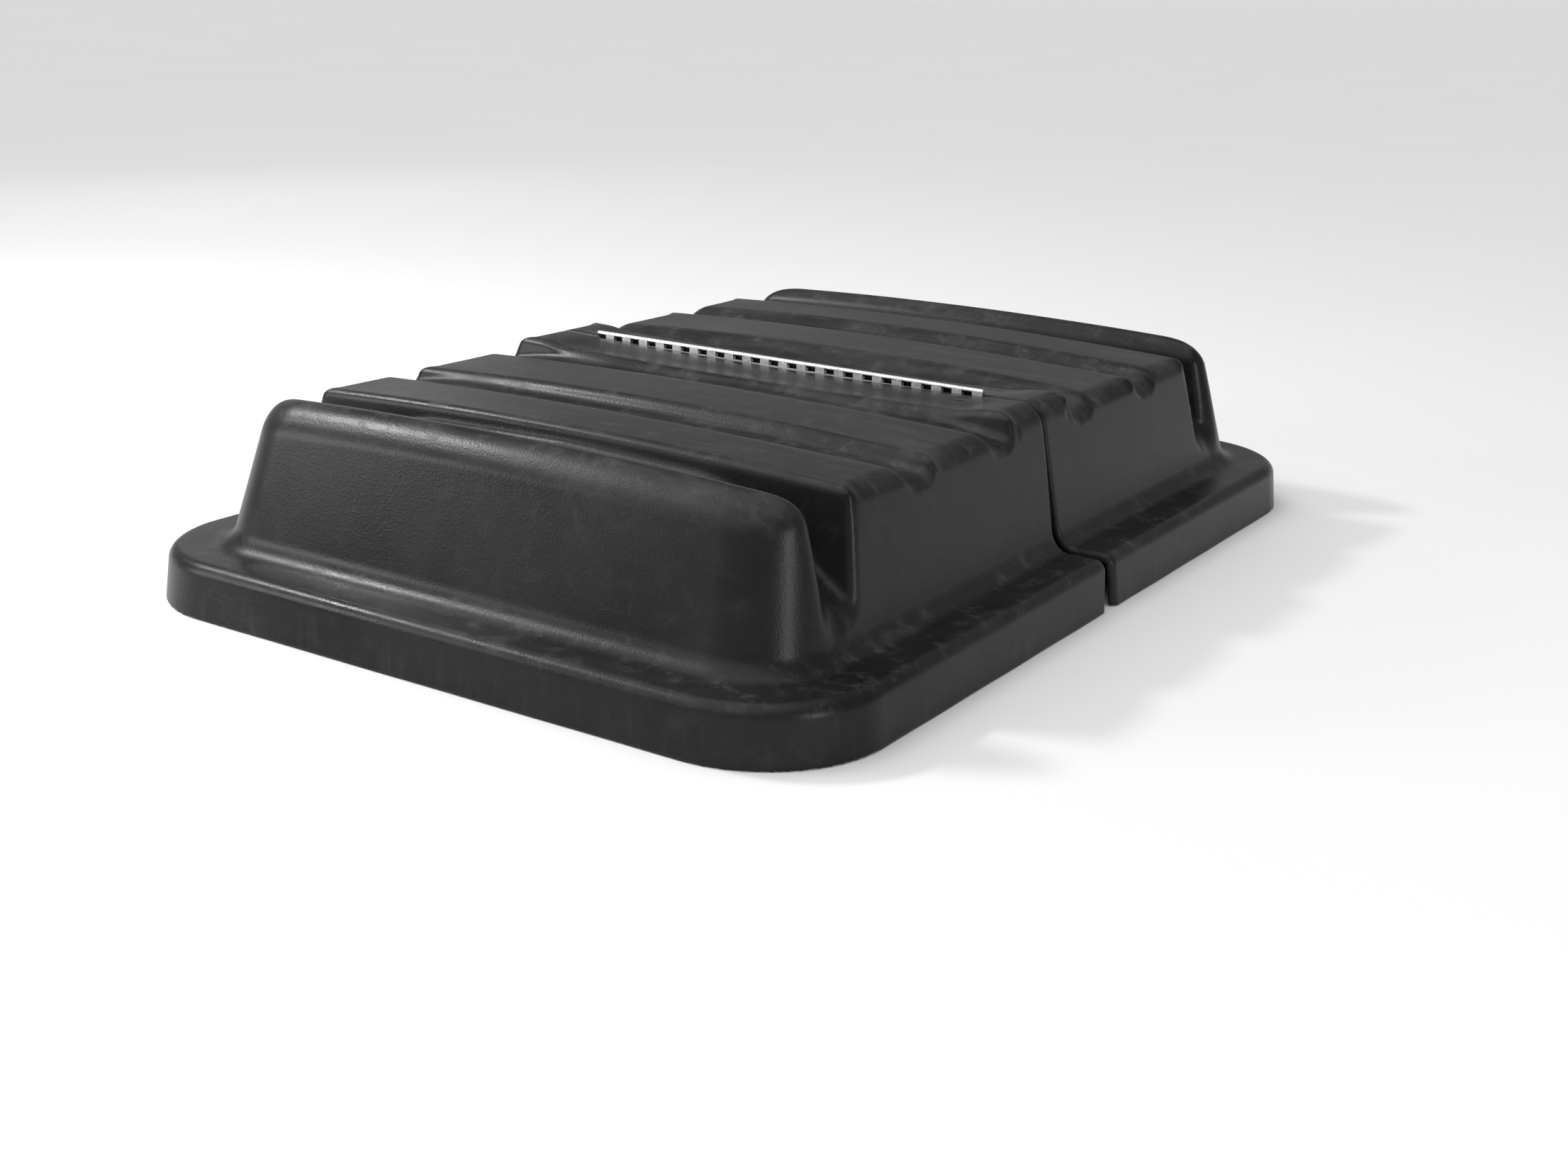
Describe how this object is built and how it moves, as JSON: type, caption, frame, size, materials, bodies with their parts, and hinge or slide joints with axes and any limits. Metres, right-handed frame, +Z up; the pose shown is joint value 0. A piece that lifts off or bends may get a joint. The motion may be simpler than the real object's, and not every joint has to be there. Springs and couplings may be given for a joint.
{
  "type": "hinged domed lid",
  "caption": "Two-piece domed plastic lid for a bulk box, its halves joined across the middle by a steel piano hinge so that either half folds back over the other.",
  "frame": {"origin": "on the plane the skirt stands on, straight below the middle of the hinge", "axes": "+X along the hinge and the lid's width, +Y along the lid's length from the front half to the rear half, +Z up"},
  "size_m": [0.87, 1.22, 0.218],
  "materials": {
    "lid_plastic": "satin, fine orange-peel grain",
    "hinge_steel": "bright zinc plated",
    "pin_steel": "drawn wire",
    "rivet_aluminium": "plain",
    "washer_steel": "zinc plated"
  },
  "bodies": {
    "front_half": {"front_lid": "lid_plastic", "front_hinge_leaf": "hinge_steel", "hinge_pin": "pin_steel", "front_hinge_rivets": "rivet_aluminium", "front_rivet_mandrels": "pin_steel", "front_rivet_washers": "washer_steel"},
    "rear_half": {"rear_lid": "lid_plastic", "rear_hinge_leaf": "hinge_steel", "rear_hinge_rivets": "rivet_aluminium", "rear_rivet_mandrels": "pin_steel", "rear_rivet_washers": "washer_steel"}
  },
  "joints": [
    {"name": "lid_fold", "type": "hinge", "parent": "front_half", "child": "rear_half", "pos_m": [0, 0, 0.215], "axis": [1, 0, 0], "range_deg": [0, 175]}
  ]
}
